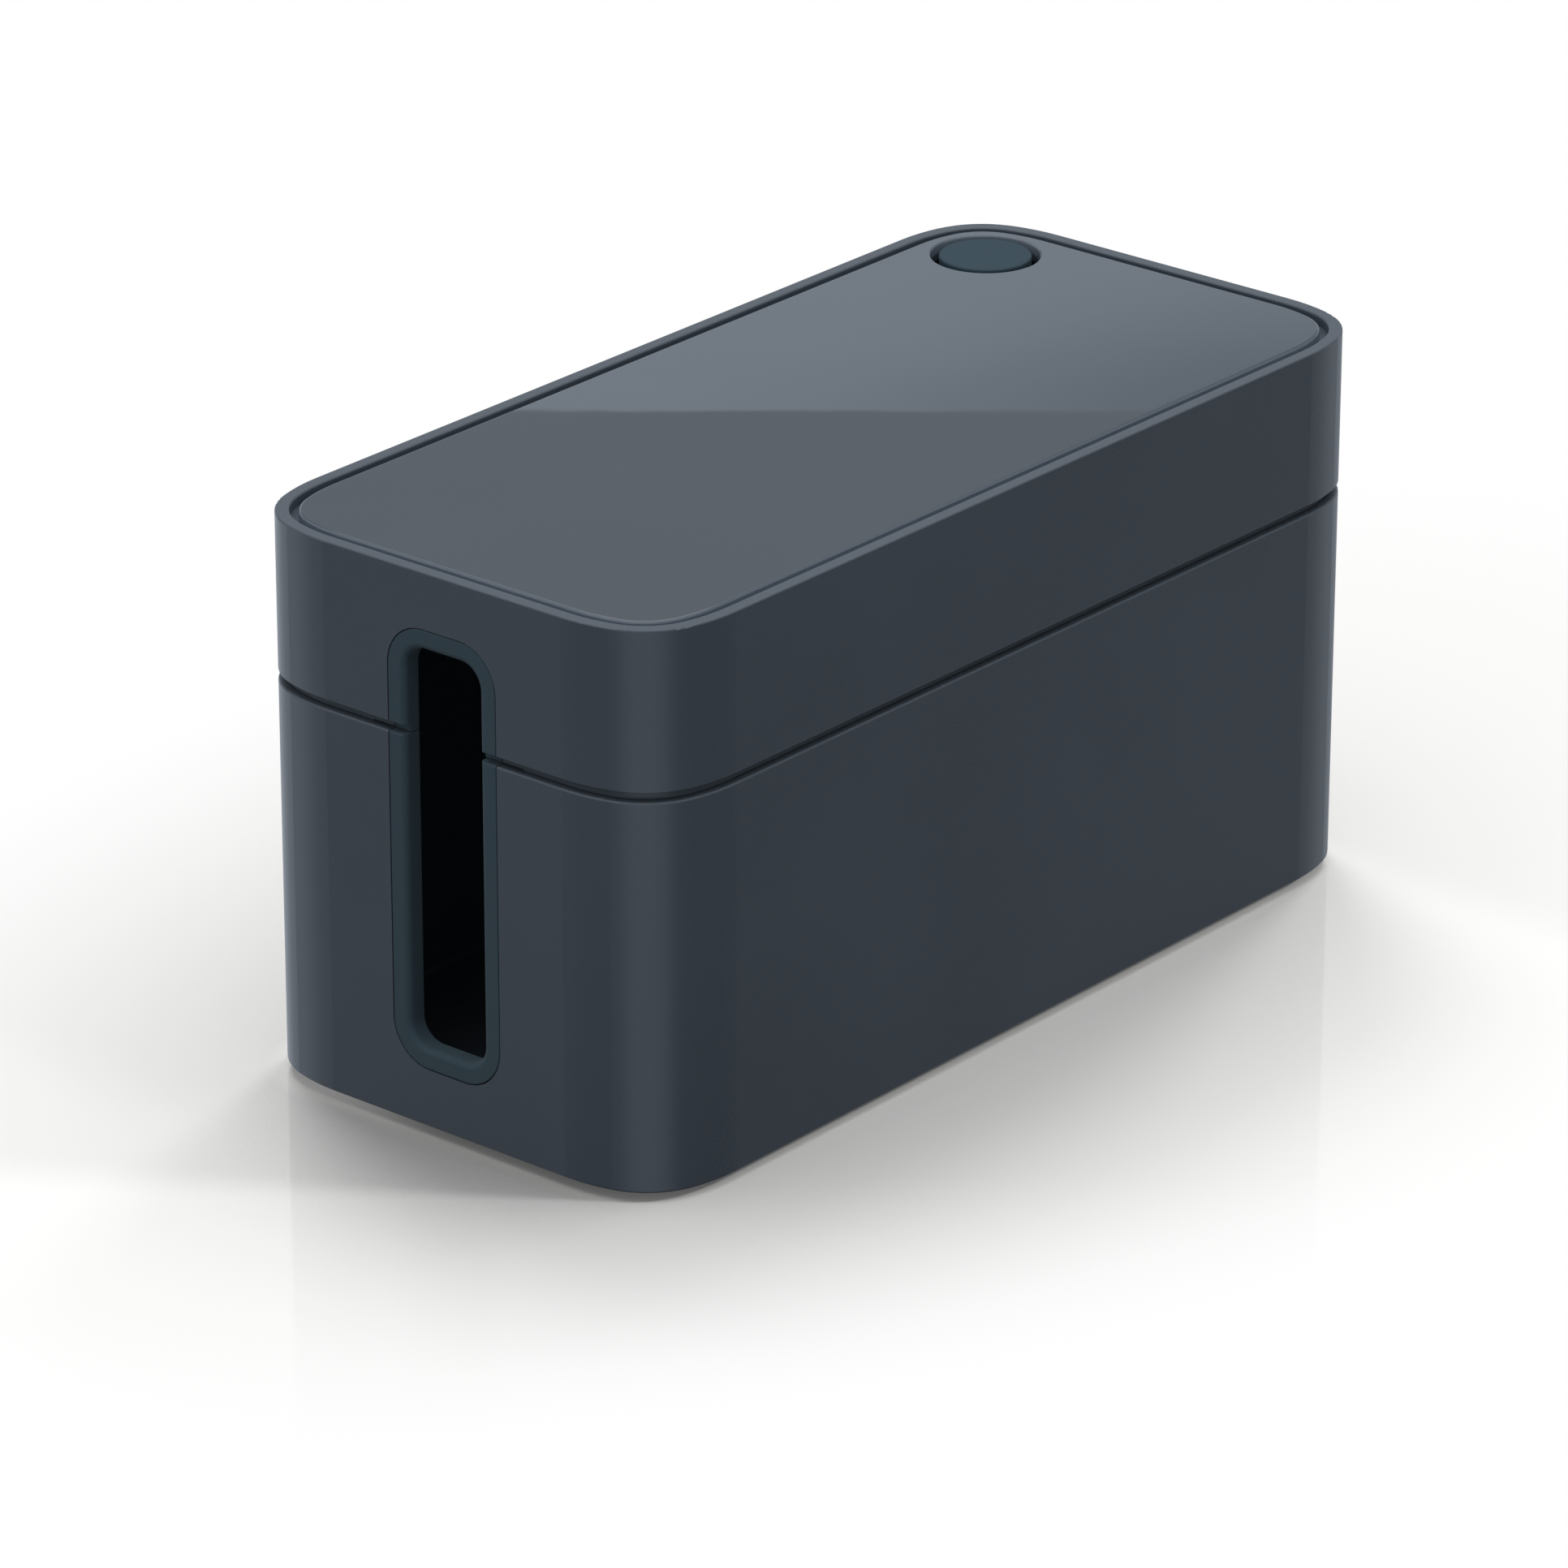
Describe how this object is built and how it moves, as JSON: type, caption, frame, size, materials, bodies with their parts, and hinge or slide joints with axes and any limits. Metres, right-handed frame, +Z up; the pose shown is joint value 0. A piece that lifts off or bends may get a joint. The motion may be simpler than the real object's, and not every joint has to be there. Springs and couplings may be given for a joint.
{
  "type": "cable management box",
  "caption": "Oblong cable box: tub and lift-off lid with a shadow-gap seam, a soft-trimmed cable slot in each end, a let-in top plate and a capped round cable outlet.",
  "frame": {"origin": "on the table under the middle of the box, at the level of the feet's undersides", "axes": "+X along the length to the right end, +Y across the width to the back, +Z up; the round outlet is at the +X +Y corner of the top"},
  "size_m": [0.246, 0.116, 0.128],
  "materials": {
    "housing_plastic": "fine matte moulded plastic, slate grey-blue",
    "plate_plastic": "smooth satin-gloss moulded plastic, slate grey-blue",
    "soft_trim": "matte soft elastomer, dark blue-grey",
    "cap_soft": "matte soft elastomer, blue-grey",
    "foot_rubber": "matte black rubber"
  },
  "bodies": {
    "tub": {"base_tub": "housing_plastic", "base_trim_left": "soft_trim", "base_trim_right": "soft_trim", "foot_front_left": "foot_rubber", "foot_front_right": "foot_rubber", "foot_back_left": "foot_rubber", "foot_back_right": "foot_rubber"},
    "lid": {"lid_shell": "housing_plastic", "lid_trim_left": "soft_trim", "lid_trim_right": "soft_trim", "top_plate": "plate_plastic"},
    "cap": {"outlet_cap": "cap_soft"}
  },
  "joints": [
    {"name": "lid_lift", "type": "slide", "parent": "tub", "child": "lid", "axis": [0, 0, 1], "range_m": [0, 0.06]},
    {"name": "cap_pull", "type": "slide", "parent": "lid", "child": "cap", "axis": [0, 0, 1], "range_m": [0, 0.02]}
  ]
}
